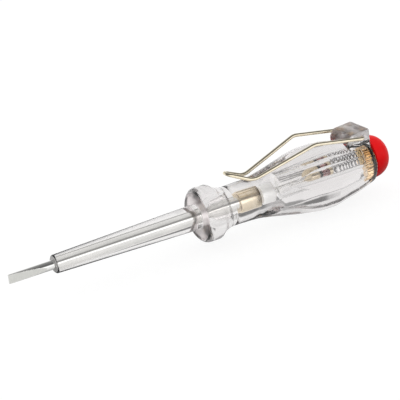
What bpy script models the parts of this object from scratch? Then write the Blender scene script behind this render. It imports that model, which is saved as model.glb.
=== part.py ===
"""A voltage tester screwdriver: a flat blade in a clear tapered sleeve, a clear fluted handle that
holds the test circuit, a red screw cap on its end and a hinged wire clip.
It lies along X with the blade's tip towards -X and the clip on top. Lengths are in metres, and a
place along the tool is its distance from the blade's tip."""
import math

import bmesh
import bpy
from mathutils import Matrix, Vector

# Clearances
FIT_GAP = 0.0003
CUT_OVERRUN = 0.001
WELD_DISTANCE = 0.00001

# Blade
BLADE_DIAMETER = 0.003
BLADE_BARE_LENGTH = 0.0157
BLADE_TIP_THICKNESS = 0.0005
BLADE_FLAT_LENGTH = 0.0124
BLADE_FLAT_STATIONS = 6

# Clear sleeve on the blade
SLEEVE_SHOWN_LENGTH = 0.0516
SLEEVE_FRONT_RADIUS = 0.003
SLEEVE_REAR_RADIUS = 0.0042
SLEEVE_EDGE = 0.0004
SLEEVE_SPIGOT_RADIUS = 0.0034
SLEEVE_SPIGOT_LENGTH = 0.0097

# Handle, outside
HANDLE_LENGTH = 0.0651
COLLAR_RADIUS = 0.0091
COLLAR_LENGTH = 0.005
COLLAR_EDGE = 0.0021
COLLAR_EDGE_STEPS = 3
COVE_LENGTH = 0.0062
NECK_RADIUS = 0.0066
NECK_LENGTH = 0.0015
SHOULDER_LENGTH = 0.0315
BELLY_RADIUS = 0.0113
BELLY_LENGTH = 0.004
RIM_RADIUS = 0.0075
RIM_EDGE = 0.0003
HANDLE_STEPS = 32
COVE_SHARES = [(0, 0), (0.1, 0.08), (0.23, 0.31), (0.45, 0.65), (0.68, 0.85), (0.84, 0.95), (1, 1)]
SHOULDER_SHARES = [(0, 0), (0.25, 0.057), (0.40, 0.22), (0.53, 0.395), (0.67, 0.613), (0.81, 0.838),
                   (0.94, 0.977), (1, 1)]
TAIL_SHARES = [(0, 0), (0.1, 0.085), (0.27, 0.25), (0.44, 0.38), (0.62, 0.55), (0.80, 0.765), (1, 1)]

# Flutes, the flat strips along the barrel
FLUTE_COUNT = 8
FLUTE_HALF_STEPS = 1.5
FLUTE_SET_BACK = 0.014
FLUTE_RUN_IN = 0.014
FLUTE_RUN_OUT = 0.006

# Lug on top of the handle's rear end
LUG_WIDTH = 0.011
LUG_RISE = 0.0053
LUG_TOP_LENGTH = 0.0073
LUG_TOP_FALL = 0.0005
LUG_FRONT_RUN = 0.0016
LUG_FRONT_DROP = 0.0022
LUG_DEPTH = 0.0066
LUG_SET_BACK = 0.0005
LUG_EDGE = 0.0008
PIN_BELOW_TOP = 0.0025
PIN_AHEAD_OF_REAR = 0.0032

# Wire clip
CLIP_WIRE_DIAMETER = 0.0012
CLIP_STUB_LENGTH = 0.0034
CLIP_REAR_RUN = 0.0187
CLIP_LIFT = 0.0023
CLIP_FRONT_RUN = 0.0222
CLIP_NECK_SPACING = 0.0062
CLIP_CURL_RUN = 0.0081
CLIP_CURL_RISE = 0.0038
CLIP_TIP_SPACING = 0.0032
CLIP_CORNER_RADIUS = 0.0009
CLIP_BEND_RADIUS = 0.005
CLIP_LOW_RADIUS = 0.006
CLIP_ARC_STEPS = 5

# Brass bush on the blade's end
BUSH_RADIUS = 0.00225
BUSH_LENGTH = 0.008
BUSH_EDGE = 0.0004
BUSH_SOCKET_LENGTH = 0.0056
BUSH_SET_BACK_SHARE = 0.256

# Resistor with its two leads
RESISTOR_RADIUS = 0.0021
RESISTOR_LENGTH = 0.0053
RESISTOR_EDGE = 0.0004
LEAD_RADIUS = 0.0006
FRONT_LEAD_LENGTH = 0.0027

# Chamber in the handle for lamp and spring, and its height above the tool's axis with all that
# follows it up to the cap
CHAMBER_RADIUS = 0.003
CHAMBER_WALL = 0.0006
CHAMBER_RISE = 0.00085

# Glow lamp
LAMP_LENGTH = 0.0077
LAMP_CAP_RADIUS = 0.0024
LAMP_CAP_WALL = 0.0003
LAMP_FRONT_CAP_LENGTH = 0.0032
LAMP_FRONT_CAP_BASE = 0.0015
LAMP_REAR_CAP_LENGTH = 0.0012
LAMP_REAR_CAP_BASE = 0.0006
LAMP_GLASS_WALL = 0.00045
ELECTRODE_RADIUS = 0.0002
ELECTRODE_LENGTH = 0.0036
ELECTRODE_OFFSET = 0.00055

# Contact spring
SPRING_RADIUS = 0.0027
SPRING_WIRE_DIAMETER = 0.0005
SPRING_LENGTH = 0.0107
SPRING_TURNS = 8
SPRING_POINTS_PER_TURN = 10

# Brass threaded insert
INSERT_RADIUS = 0.0052
INSERT_LENGTH = 0.0031
INSERT_EDGE = 0.0003
KNURL_COUNT = 40
KNURL_DEPTH = 0.00025

# Seal ring
SEAL_RADIUS = 0.0057
SEAL_LENGTH = 0.0004
SEAL_EDGE = 0.0001
SEAL_SHANK_GAP = 0.0005

# Cap screw
THREAD_RADIUS = 0.003
THREAD_DEPTH = 0.0004
THREAD_PITCH = 0.00075
THREAD_RIDGES = 5
SCREW_NOSE_RADIUS = 0.0024
SCREW_NOSE_LENGTH = 0.0009
SCREW_HEAD_RADIUS = 0.0045
SCREW_HEAD_LENGTH = 0.002

# Red end cap and its metal touch contact
CAP_RADIUS = 0.00725
CAP_HEIGHT = 0.0073
CAP_EDGE = 0.0002
CAP_FULLNESS = 1.2
CAP_DOME_STEPS = 9
TOUCH_RADIUS = 0.002
TOUCH_EDGE = 0.0003

# Round-piece resolutions
TURNED_STEPS = 24
SMALL_STEPS = 12
SMOOTH_ANGLE = math.radians(35)


# Places along the tool, from the blade's tip
handle_front = BLADE_BARE_LENGTH + SLEEVE_SHOWN_LENGTH
handle_rear = handle_front + HANDLE_LENGTH
cap_front = handle_rear + FIT_GAP
tool_end = cap_front + CAP_HEIGHT
collar_rear = handle_front + COLLAR_LENGTH
neck_front = collar_rear + COVE_LENGTH
neck_rear = neck_front + NECK_LENGTH
belly_front = neck_rear + SHOULDER_LENGTH
belly_rear = belly_front + BELLY_LENGTH
spigot_rear = handle_front + SLEEVE_SPIGOT_LENGTH
screw_head_front = cap_front + FIT_GAP
screw_head_rear = screw_head_front + SCREW_HEAD_LENGTH

# The seal, the insert, the spring and the lamp follow each other from the handle's rear end
seal_rear = handle_rear - FIT_GAP
seal_front = seal_rear - SEAL_LENGTH
seal_seat = seal_front - FIT_GAP
insert_rear = seal_seat
insert_front = insert_rear - INSERT_LENGTH
screw_front = insert_front - FIT_GAP
spring_rear = screw_front - FIT_GAP
spring_front = spring_rear - SPRING_LENGTH
lamp_rear = spring_front - FIT_GAP
lamp_front = lamp_rear - LAMP_LENGTH
rear_lead_rear = lamp_front - FIT_GAP

# The bush and the resistor share the room between the sleeve and the lamp
lead_room = rear_lead_rear - spigot_rear - BUSH_LENGTH - RESISTOR_LENGTH - 4 * FIT_GAP
bush_front = spigot_rear + FIT_GAP + BUSH_SET_BACK_SHARE * lead_room
bush_rear = bush_front + BUSH_LENGTH
blade_rear = bush_front + BUSH_SOCKET_LENGTH - FIT_GAP
resistor_front = bush_rear + FIT_GAP + FIT_GAP
resistor_rear = resistor_front + RESISTOR_LENGTH
rear_lead_front = resistor_rear + FIT_GAP
chamber_front = rear_lead_front + CHAMBER_WALL

# Heights above the tool's axis
axis_height = BELLY_RADIUS * math.cos(math.pi / HANDLE_STEPS)
lug_top = RIM_RADIUS + LUG_RISE
lug_rear = handle_rear - LUG_SET_BACK
pin_height = lug_top - PIN_BELOW_TOP
pin_place = lug_rear - PIN_AHEAD_OF_REAR
wire_radius = CLIP_WIRE_DIAMETER / 2


def clear_scene():
    for thing in list(bpy.data.objects):
        bpy.data.objects.remove(thing)


def new_collection(name):
    collection = bpy.data.collections.new(name)
    bpy.context.scene.collection.children.link(collection)
    return collection


def new_empty(name, location, rotation, parent=None):
    empty = bpy.data.objects.new(name, None)
    empty.empty_display_size = CUT_OVERRUN
    empty.location = location
    empty.rotation_euler = rotation
    empty.parent = parent
    tester.objects.link(empty)
    return empty


def new_finish(name, color, roughness, metallic=0.0, transmission=0.0):
    finish = bpy.data.materials.new(name)
    finish.use_nodes = True
    shader = finish.node_tree.nodes["Principled BSDF"]
    shader.inputs["Base Color"].default_value = (*color, 1)
    shader.inputs["Roughness"].default_value = roughness
    shader.inputs["Metallic"].default_value = metallic
    shader.inputs["Transmission Weight"].default_value = transmission
    finish.diffuse_color = (*color, 1)
    return finish


def place(thing, frame, collection, finish=None):
    """Puts an object in a collection, under an empty, with its finish."""
    collection.objects.link(thing)
    thing.parent = frame
    if finish:
        thing.data.materials.clear()
        thing.data.materials.append(finish)
    return thing


def as_cutter(thing):
    thing.hide_render = True
    thing.display_type = "WIRE"
    return thing


def turned(name, outline, steps, finish, frame=None, collection=None):
    """A round piece from its outline of (radius, place) points, outer side first and from the rear
    to the front. An outline that doesn't reach the axis at both ends closes on itself."""
    mesh = bpy.data.meshes.new(name)
    points = [(radius, 0, along) for radius, along in outline]
    edges = [(i, i + 1) for i in range(len(points) - 1)]
    if outline[0][0] > 0:
        edges.append((len(points) - 1, 0))
    mesh.from_pydata(points, edges, [])
    thing = bpy.data.objects.new(name, mesh)
    place(thing, frame or round_frame, collection or tester, finish)
    spin = thing.modifiers.new("Turn", "SCREW")
    spin.axis = "Z"
    spin.steps = steps
    spin.render_steps = steps
    spin.use_merge_vertices = True
    spin.merge_threshold = WELD_DISTANCE
    spin.use_smooth_shade = True
    return thing


def as_mesh(thing):
    """Replaces an object by one that holds its finished shape as a plain mesh."""
    depsgraph = bpy.context.evaluated_depsgraph_get()
    mesh = bpy.data.meshes.new_from_object(thing.evaluated_get(depsgraph))
    shape = bmesh.new()
    shape.from_mesh(mesh)
    bmesh.ops.remove_doubles(shape, verts=shape.verts, dist=WELD_DISTANCE)
    shape.to_mesh(mesh)
    shape.free()
    name = thing.name
    world = thing.matrix_world.copy()
    collection = thing.users_collection[0]
    bpy.data.objects.remove(thing)
    solid = bpy.data.objects.new(name, mesh)
    solid.matrix_world = world
    collection.objects.link(solid)
    mesh.shade_smooth()
    mesh.set_sharp_from_angle(angle=SMOOTH_ANGLE)
    return solid


def boolean(thing, other, operation):
    step = thing.modifiers.new(operation.title(), "BOOLEAN")
    step.operation = operation
    step.object = other


def curve_through(shares, start, length, radius, change, samples):
    """(radius, place) points on a smooth curve through shares of a length and a change of radius."""
    points = []
    last = len(shares) - 1
    for i in range(last):
        before = shares[max(i - 1, 0)]
        after = shares[min(i + 2, last)]
        for k in range(samples):
            t = k / samples
            share = []
            for axis in (0, 1):
                p0, p1, p2, p3 = before[axis], shares[i][axis], shares[i + 1][axis], after[axis]
                share.append(0.5 * (2 * p1 + (p2 - p0) * t + (2 * p0 - 5 * p1 + 4 * p2 - p3) * t ** 2
                                    + (3 * p1 - p0 - 3 * p2 + p3) * t ** 3))
            points.append((radius + change * share[1], start + length * share[0]))
    points.append((radius + change * shares[last][1], start + length * shares[last][0]))
    return points


def handle_outline():
    """The handle's outer side from its front face to its rim, as (radius, place) points."""
    cove = curve_through(COVE_SHARES, collar_rear, COVE_LENGTH, COLLAR_RADIUS,
                         NECK_RADIUS - COLLAR_RADIUS, 1)
    shoulder = curve_through(SHOULDER_SHARES, neck_rear, SHOULDER_LENGTH, NECK_RADIUS,
                             BELLY_RADIUS - NECK_RADIUS, 2)
    tail = curve_through(TAIL_SHARES, belly_rear, handle_rear - RIM_EDGE - belly_rear, BELLY_RADIUS,
                         RIM_RADIUS - BELLY_RADIUS, 2)
    front = []
    for i in range(COLLAR_EDGE_STEPS + 1):
        angle = math.radians(90) * i / COLLAR_EDGE_STEPS
        front.append((COLLAR_RADIUS - COLLAR_EDGE + COLLAR_EDGE * math.sin(angle),
                      handle_front + COLLAR_EDGE - COLLAR_EDGE * math.cos(angle)))
    return front + cove + shoulder + tail + [(RIM_RADIUS - RIM_EDGE, handle_rear)]


def barrel_radius(along):
    """The handle's radius over its lands at a place along the tool."""
    outline = handle_outline()
    for (r0, a0), (r1, a1) in zip(outline, outline[1:]):
        if a0 <= along <= a1:
            return r0 + (r1 - r0) * (along - a0) / (a1 - a0)
    raise ValueError("place is off the handle")


def eased(value):
    share = min(max(value, 0.0), 1.0)
    return share * share * (3 - 2 * share)


def press_flutes(solid):
    """Presses the barrel's surface flat along its flutes, which widen from nothing behind the neck."""
    pitch = math.tau / FLUTE_COUNT
    widest = FLUTE_HALF_STEPS * math.tau / HANDLE_STEPS
    for vertex in solid.data.vertices:
        x, y, along = vertex.co
        run_in = eased((along - neck_rear - FLUTE_SET_BACK) / FLUTE_RUN_IN)
        run_out = eased((handle_rear - along) / FLUTE_RUN_OUT)
        half_angle = widest * run_in * run_out
        offset = (math.atan2(y, x) % pitch) - pitch / 2
        if abs(offset) < half_angle and math.hypot(x, y) > 0:
            press = math.cos(half_angle) / math.cos(offset)
            vertex.co.x = x * press
            vertex.co.y = y * press


def make_lug():
    """The lug's side outline, drawn out to its width."""
    top_front = lug_rear - LUG_TOP_LENGTH
    low_front = top_front - LUG_FRONT_RUN
    low_height = lug_top - LUG_TOP_FALL - LUG_FRONT_DROP
    foot = lug_top - LUG_DEPTH
    corners = [(lug_rear, lug_top), (top_front, lug_top - LUG_TOP_FALL), (low_front, low_height),
               (low_front, foot), (lug_rear, foot)]
    curve = bpy.data.curves.new("lug", "CURVE")
    curve.dimensions = "2D"
    curve.fill_mode = "BOTH"
    curve.extrude = LUG_WIDTH / 2
    spline = curve.splines.new("POLY")
    spline.points.add(len(corners) - 1)
    for point, (along, height) in zip(spline.points, corners):
        point.co = (along, height, 0, 1)
    spline.use_cyclic_u = True
    lug = bpy.data.objects.new("lug", curve)
    lug.rotation_euler = (math.radians(90), 0, 0)
    place(lug, side_frame, cutters)
    bpy.context.view_layer.update()
    lug = as_cutter(as_mesh(lug))
    edge = lug.modifiers.new("Edge", "BEVEL")
    edge.width = LUG_EDGE
    edge.segments = 3
    edge.limit_method = "ANGLE"
    edge.angle_limit = SMOOTH_ANGLE
    return lug


def make_pin_hole():
    """The hole across the lug that takes the clip's two ends."""
    mesh = bpy.data.meshes.new("pin_hole")
    shape = bmesh.new()
    radius = wire_radius + FIT_GAP
    across = Matrix.Rotation(math.radians(90), 4, "X")
    bmesh.ops.create_cone(shape, cap_ends=True, segments=SMALL_STEPS, radius1=radius, radius2=radius,
                          depth=LUG_WIDTH + CUT_OVERRUN, matrix=across)
    shape.to_mesh(mesh)
    shape.free()
    hole = bpy.data.objects.new("pin_hole", mesh)
    hole.location = (pin_place, 0, pin_height)
    return as_cutter(place(hole, side_frame, cutters))


def bore_cutter(name, steps, frame):
    """A stepped bore from its (radius, front, rear) steps, from the front to the rear."""
    outline = [(0, steps[-1][2])]
    for radius, front, rear in reversed(steps):
        outline += [(radius, rear), (radius, front)]
    outline.append((0, steps[0][1]))
    return as_cutter(turned(name, outline, TURNED_STEPS, None, frame, cutters))


def make_handle_bores():
    """The stepped bore round the blade, the bush and the resistor, and the raised one behind it."""
    socket = SLEEVE_SPIGOT_RADIUS + FIT_GAP
    shank = BLADE_DIAMETER / 2 + FIT_GAP
    bush = BUSH_RADIUS + FIT_GAP
    resistor = RESISTOR_RADIUS + FIT_GAP
    lead = LEAD_RADIUS + FIT_GAP
    insert = INSERT_RADIUS + FIT_GAP
    seal = SEAL_RADIUS + FIT_GAP
    steps = [(socket, handle_front - CUT_OVERRUN, spigot_rear + FIT_GAP),
             (shank, spigot_rear + FIT_GAP, bush_front - FIT_GAP),
             (bush, bush_front - FIT_GAP, bush_rear + FIT_GAP),
             (resistor, bush_rear + FIT_GAP, resistor_rear + FIT_GAP),
             (lead, resistor_rear + FIT_GAP, chamber_front + CUT_OVERRUN)]
    raised_steps = [(CHAMBER_RADIUS, chamber_front, screw_front),
                    (insert, screw_front, seal_seat),
                    (seal, seal_seat, handle_rear + CUT_OVERRUN)]
    return [bore_cutter("front_bore", steps, round_frame),
            bore_cutter("chamber_bore", raised_steps, chamber_frame)]


def make_handle():
    outer = handle_outline()
    outline = [(0, handle_rear)] + outer[::-1] + [(0, handle_front)]
    handle = turned("handle_body", outline, HANDLE_STEPS, clear_plastic)
    handle.rotation_euler = (0, 0, math.pi / HANDLE_STEPS)
    bpy.context.view_layer.update()
    handle = as_mesh(handle)
    to_axis = round_frame.matrix_world.inverted() @ handle.matrix_world
    handle.data.transform(to_axis)
    handle.matrix_world = round_frame.matrix_world
    press_flutes(handle)
    boolean(handle, make_lug(), "UNION")
    for bore in make_handle_bores():
        boolean(handle, bore, "DIFFERENCE")
    boolean(handle, make_pin_hole(), "DIFFERENCE")


def make_blade():
    """A round rod whose front end is ground to a flat tip, its width standing upright."""
    radius = BLADE_DIAMETER / 2
    stations = [BLADE_FLAT_LENGTH * i / BLADE_FLAT_STATIONS for i in range(BLADE_FLAT_STATIONS + 1)]
    outline = [(0, blade_rear), (radius, blade_rear)]
    outline += [(radius, along) for along in reversed(stations)] + [(0, 0)]
    blade = turned("driver_blade", outline, TURNED_STEPS, steel)
    bpy.context.view_layer.update()
    blade = as_mesh(blade)
    to_axis = round_frame.matrix_world.inverted() @ blade.matrix_world
    blade.data.transform(to_axis)
    blade.matrix_world = round_frame.matrix_world
    tip = BLADE_TIP_THICKNESS / 2
    for vertex in blade.data.vertices:
        share = min(vertex.co.z / BLADE_FLAT_LENGTH, 1.0)
        half = tip + (radius - tip) * share
        vertex.co.y = min(max(vertex.co.y, -half), half)


def make_sleeve():
    bore = BLADE_DIAMETER / 2 + FIT_GAP
    seat = handle_front - FIT_GAP
    outline = [(SLEEVE_SPIGOT_RADIUS, spigot_rear), (SLEEVE_SPIGOT_RADIUS, seat),
               (SLEEVE_REAR_RADIUS, seat), (SLEEVE_FRONT_RADIUS, BLADE_BARE_LENGTH + SLEEVE_EDGE),
               (SLEEVE_FRONT_RADIUS - SLEEVE_EDGE, BLADE_BARE_LENGTH),
               (bore, BLADE_BARE_LENGTH), (bore, spigot_rear)]
    turned("blade_sleeve", outline, TURNED_STEPS, clear_plastic)


def make_bush():
    socket = BLADE_DIAMETER / 2 + FIT_GAP
    lead = LEAD_RADIUS + FIT_GAP
    step = bush_front + BUSH_SOCKET_LENGTH
    outline = [(BUSH_RADIUS, bush_rear), (BUSH_RADIUS, bush_front + BUSH_EDGE),
               (BUSH_RADIUS - BUSH_EDGE, bush_front), (socket, bush_front),
               (socket, step), (lead, step), (lead, bush_rear)]
    turned("contact_bush", outline, TURNED_STEPS, brass)


def make_resistor():
    body = [(0, resistor_rear), (RESISTOR_RADIUS - RESISTOR_EDGE, resistor_rear),
            (RESISTOR_RADIUS, resistor_rear - RESISTOR_EDGE),
            (RESISTOR_RADIUS, resistor_front + RESISTOR_EDGE),
            (RESISTOR_RADIUS - RESISTOR_EDGE, resistor_front), (0, resistor_front)]
    turned("resistor_body", body, TURNED_STEPS, ceramic)
    lead_rear = resistor_front - FIT_GAP
    for name, front, rear in (("resistor_lead_front", lead_rear - FRONT_LEAD_LENGTH, lead_rear),
                              ("resistor_lead_rear", rear_lead_front, rear_lead_rear)):
        outline = [(0, rear), (LEAD_RADIUS, rear), (LEAD_RADIUS, front), (0, front)]
        turned(name, outline, SMALL_STEPS, tinned_wire)


def make_lamp():
    """A glass tube between two brass cup caps, with a straight electrode on each cap."""
    cup = LAMP_CAP_RADIUS - LAMP_CAP_WALL
    glass = cup - FIT_GAP
    front_base = lamp_front + LAMP_FRONT_CAP_BASE
    rear_base = lamp_rear - LAMP_REAR_CAP_BASE
    front_lip = lamp_front + LAMP_FRONT_CAP_LENGTH
    rear_lip = lamp_rear - LAMP_REAR_CAP_LENGTH
    front_cap = [(cup, front_lip), (LAMP_CAP_RADIUS, front_lip), (LAMP_CAP_RADIUS, lamp_front),
                 (0, lamp_front)]
    turned("lamp_cap_front", [(0, front_base), (cup, front_base)] + front_cap, TURNED_STEPS, brass,
           chamber_frame)
    rear_cap = [(0, lamp_rear), (LAMP_CAP_RADIUS, lamp_rear), (LAMP_CAP_RADIUS, rear_lip),
                (cup, rear_lip), (cup, rear_base), (0, rear_base)]
    turned("lamp_cap_rear", rear_cap, TURNED_STEPS, brass, chamber_frame)
    glass_front = front_base + FIT_GAP
    glass_rear = rear_base - FIT_GAP
    inner = glass - LAMP_GLASS_WALL
    turned("lamp_glass", [(glass, glass_rear), (glass, glass_front), (inner, glass_front),
                          (inner, glass_rear)], TURNED_STEPS, lamp_tube, chamber_frame)
    for name, front, side in (("lamp_electrode_a", glass_front, 1),
                              ("lamp_electrode_b", glass_rear - ELECTRODE_LENGTH, -1)):
        rear = front + ELECTRODE_LENGTH
        outline = [(0, rear), (ELECTRODE_RADIUS, rear), (ELECTRODE_RADIUS, front), (0, front)]
        rod = turned(name, outline, SMALL_STEPS, dark_metal, chamber_frame)
        rod.location = (0, side * ELECTRODE_OFFSET, 0)


def make_spring():
    """One unbroken coil of constant pitch."""
    wire = SPRING_WIRE_DIAMETER / 2
    radius = SPRING_RADIUS - wire
    first = spring_front + wire
    rise = SPRING_LENGTH - SPRING_WIRE_DIAMETER
    count = SPRING_TURNS * SPRING_POINTS_PER_TURN + 1
    points = []
    for i in range(count):
        turn = math.tau * i / SPRING_POINTS_PER_TURN
        along = first + rise * i / (count - 1)
        points.append(Vector((radius * math.cos(turn), radius * math.sin(turn), along)))
    half_turn = SPRING_POINTS_PER_TURN // 2
    gaps = [(points[i] - points[j]).length - SPRING_WIRE_DIAMETER
            for i in range(count) for j in range(i + half_turn, count)]
    print(f"contact_spring least gap {min(gaps) * 1000:.3f} mm")
    curve = bpy.data.curves.new("contact_spring", "CURVE")
    curve.dimensions = "3D"
    curve.bevel_depth = wire
    curve.bevel_resolution = 1
    curve.use_fill_caps = True
    spline = curve.splines.new("POLY")
    spline.points.add(count - 1)
    for knot, point in zip(spline.points, points):
        knot.co = (*point, 1)
    spring = bpy.data.objects.new("contact_spring", curve)
    place(spring, chamber_frame, tester, spring_steel)


def make_insert():
    """A threaded ring whose outer side is knurled with straight grooves."""
    bore = THREAD_RADIUS + FIT_GAP
    rim = INSERT_RADIUS - INSERT_EDGE
    outline = [(rim, insert_rear), (INSERT_RADIUS, insert_rear - INSERT_EDGE),
               (INSERT_RADIUS, insert_front + INSERT_EDGE), (rim, insert_front),
               (bore, insert_front), (bore, insert_rear)]
    insert = turned("threaded_insert", outline, 2 * KNURL_COUNT, brass, chamber_frame)
    bpy.context.view_layer.update()
    insert = as_mesh(insert)
    to_axis = chamber_frame.matrix_world.inverted() @ insert.matrix_world
    insert.data.transform(to_axis)
    insert.matrix_world = chamber_frame.matrix_world
    floor = (INSERT_RADIUS - KNURL_DEPTH) / INSERT_RADIUS
    for vertex in insert.data.vertices:
        x, y, along = vertex.co
        column = round(math.atan2(y, x) * KNURL_COUNT / math.pi)
        if column % 2 and math.hypot(x, y) > rim + INSERT_EDGE / 2:
            vertex.co.x = x * floor
            vertex.co.y = y * floor


def make_seal():
    inner = THREAD_RADIUS + SEAL_SHANK_GAP
    rim = SEAL_RADIUS - SEAL_EDGE
    outline = [(rim, seal_rear), (SEAL_RADIUS, seal_rear - SEAL_EDGE),
               (SEAL_RADIUS, seal_front + SEAL_EDGE), (rim, seal_front),
               (inner, seal_front), (inner, seal_rear)]
    turned("seal_ring", outline, TURNED_STEPS, black_rubber, chamber_frame)


def make_cap_screw():
    """The screw that closes the circuit: nose on the spring, thread in the insert, head in the cap."""
    root = THREAD_RADIUS - THREAD_DEPTH
    thread_front = screw_front + SCREW_NOSE_LENGTH
    ridges = []
    for i in range(THREAD_RIDGES):
        valley = thread_front + THREAD_PITCH * i
        ridges += [(root, valley), (THREAD_RADIUS, valley + THREAD_PITCH / 2)]
    ridges.append((root, thread_front + THREAD_PITCH * THREAD_RIDGES))
    outline = [(0, screw_head_rear), (SCREW_HEAD_RADIUS, screw_head_rear),
               (SCREW_HEAD_RADIUS, screw_head_front), (root, screw_head_front)]
    outline += ridges[::-1] + [(SCREW_NOSE_RADIUS, screw_front), (0, screw_front)]
    turned("cap_screw", outline, TURNED_STEPS, brass, chamber_frame)


def make_end_cap():
    """A domed cap, fuller than an oval, with a pocket for the screw's head and a hole for the touch
    contact."""
    hole = TOUCH_RADIUS + FIT_GAP
    pocket = SCREW_HEAD_RADIUS + FIT_GAP
    pocket_rear = screw_head_rear + FIT_GAP
    last = math.acos((hole / CAP_RADIUS) ** CAP_FULLNESS)
    dome = []
    for i in range(CAP_DOME_STEPS + 1):
        angle = last * i / CAP_DOME_STEPS
        dome.append((CAP_RADIUS * math.cos(angle) ** (1 / CAP_FULLNESS), cap_front + CAP_EDGE
                     + (CAP_HEIGHT - CAP_EDGE) * math.sin(angle) ** (1 / CAP_FULLNESS)))
    outline = dome[::-1] + [(CAP_RADIUS - CAP_EDGE, cap_front), (pocket, cap_front),
                            (pocket, pocket_rear), (hole, pocket_rear)]
    turned("end_cap", outline, HANDLE_STEPS, red_plastic, chamber_frame)


def make_touch_contact():
    front = screw_head_rear + FIT_GAP
    outline = [(0, tool_end), (TOUCH_RADIUS - TOUCH_EDGE, tool_end),
               (TOUCH_RADIUS, tool_end - TOUCH_EDGE), (TOUCH_RADIUS, front), (0, front)]
    turned("touch_contact", outline, TURNED_STEPS, steel, chamber_frame)


def rounded_route(corners, steps):
    """A route through corners, each rounded with its own radius, as a list of points."""
    route = [corners[0][0]]
    for (before, _), (corner, radius), (after, _) in zip(corners, corners[1:], corners[2:]):
        arriving = (corner - before).normalized()
        leaving = (after - corner).normalized()
        turn = arriving.angle(leaving)
        reach = radius * math.tan(turn / 2)
        start = corner - arriving * reach
        inward = (leaving - arriving * arriving.dot(leaving)).normalized()
        center = start + inward * radius
        for i in range(steps + 1):
            angle = turn * i / steps
            route.append(center - inward * radius * math.cos(angle) + arriving * radius * math.sin(angle))
    route.append(corners[-1][0])
    return route


def clip_leg(side):
    """One leg of the clip from its end in the lug to the closed tip, seen from the hinge."""
    leg_side = LUG_WIDTH / 2 + FIT_GAP + wire_radius
    low_side = CLIP_NECK_SPACING / 2
    tip_side = CLIP_TIP_SPACING / 2
    low_place = pin_place - CLIP_REAR_RUN - CLIP_FRONT_RUN
    low_reach = barrel_radius(low_place) + wire_radius + FIT_GAP
    low_height = math.sqrt(low_reach ** 2 - low_side ** 2)
    bend_height = BELLY_RADIUS + CLIP_LIFT
    places = [(0, leg_side - CLIP_STUB_LENGTH, 0, 0),
              (0, leg_side, 0, CLIP_CORNER_RADIUS),
              (-CLIP_REAR_RUN, leg_side, bend_height - pin_height, CLIP_BEND_RADIUS),
              (low_place - pin_place, low_side, low_height - pin_height, CLIP_LOW_RADIUS),
              (low_place - pin_place - CLIP_CURL_RUN, tip_side,
               low_height + CLIP_CURL_RISE - pin_height, tip_side)]
    return [(Vector((x, y * side, z)), radius) for x, y, z, radius in places]


def make_clip():
    """A single wire: both ends turn in at the lug, and it closes in a raised tip over the neck."""
    corners = clip_leg(1) + clip_leg(-1)[::-1]
    route = rounded_route(corners, CLIP_ARC_STEPS)
    curve = bpy.data.curves.new("clip_wire", "CURVE")
    curve.dimensions = "3D"
    curve.bevel_depth = wire_radius
    curve.bevel_resolution = 2
    curve.use_fill_caps = True
    spline = curve.splines.new("POLY")
    spline.points.add(len(route) - 1)
    for knot, point in zip(spline.points, route):
        knot.co = (*point, 1)
    clip = bpy.data.objects.new("clip_wire", curve)
    place(clip, hinge_frame, tester, nickel_wire)


clear_scene()
tester = new_collection("voltage_tester")
cutters = new_collection("voltage_tester_cutters")
clear_plastic = new_finish("clear_plastic", (0.86, 0.87, 0.87), 0.08, transmission=0.9)
steel = new_finish("steel", (0.66, 0.66, 0.65), 0.25, metallic=1.0)
brass = new_finish("brass", (0.78, 0.58, 0.27), 0.28, metallic=1.0)
nickel_wire = new_finish("nickel_wire", (0.80, 0.74, 0.56), 0.22, metallic=1.0)
spring_steel = new_finish("spring_steel", (0.70, 0.71, 0.72), 0.25, metallic=1.0)
tinned_wire = new_finish("tinned_wire", (0.76, 0.76, 0.75), 0.3, metallic=1.0)
dark_metal = new_finish("dark_metal", (0.10, 0.09, 0.09), 0.5, metallic=0.6)
ceramic = new_finish("ceramic", (0.80, 0.83, 0.79), 0.55)
lamp_tube = new_finish("lamp_tube", (0.75, 0.42, 0.42), 0.1, transmission=0.7)
black_rubber = new_finish("black_rubber", (0.03, 0.03, 0.03), 0.6)
red_plastic = new_finish("red_plastic", (0.80, 0.02, 0.02), 0.35)

side_frame = new_empty("tool_axis", (-tool_end / 2, 0, axis_height), (0, 0, 0))
round_frame = new_empty("turning_axis", (0, 0, 0), (0, math.radians(90), 0), side_frame)
chamber_frame = new_empty("chamber_axis", (0, 0, CHAMBER_RISE), (0, math.radians(90), 0), side_frame)
hinge_frame = new_empty("clip_hinge", (pin_place, 0, pin_height), (0, 0, 0), side_frame)
bpy.context.view_layer.update()

make_handle()
make_blade()
make_sleeve()
make_bush()
make_resistor()
make_lamp()
make_spring()
make_insert()
make_seal()
make_cap_screw()
make_end_cap()
make_touch_contact()
make_clip()
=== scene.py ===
"""Looks of the voltage tester screwdriver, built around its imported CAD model.
Lengths are in metres. A place along the tool is its distance from the blade's tip, and a radius is
measured from the tool's axis, which runs along X."""
import math

import bmesh
import bpy
from mathutils import Matrix, Vector


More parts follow.
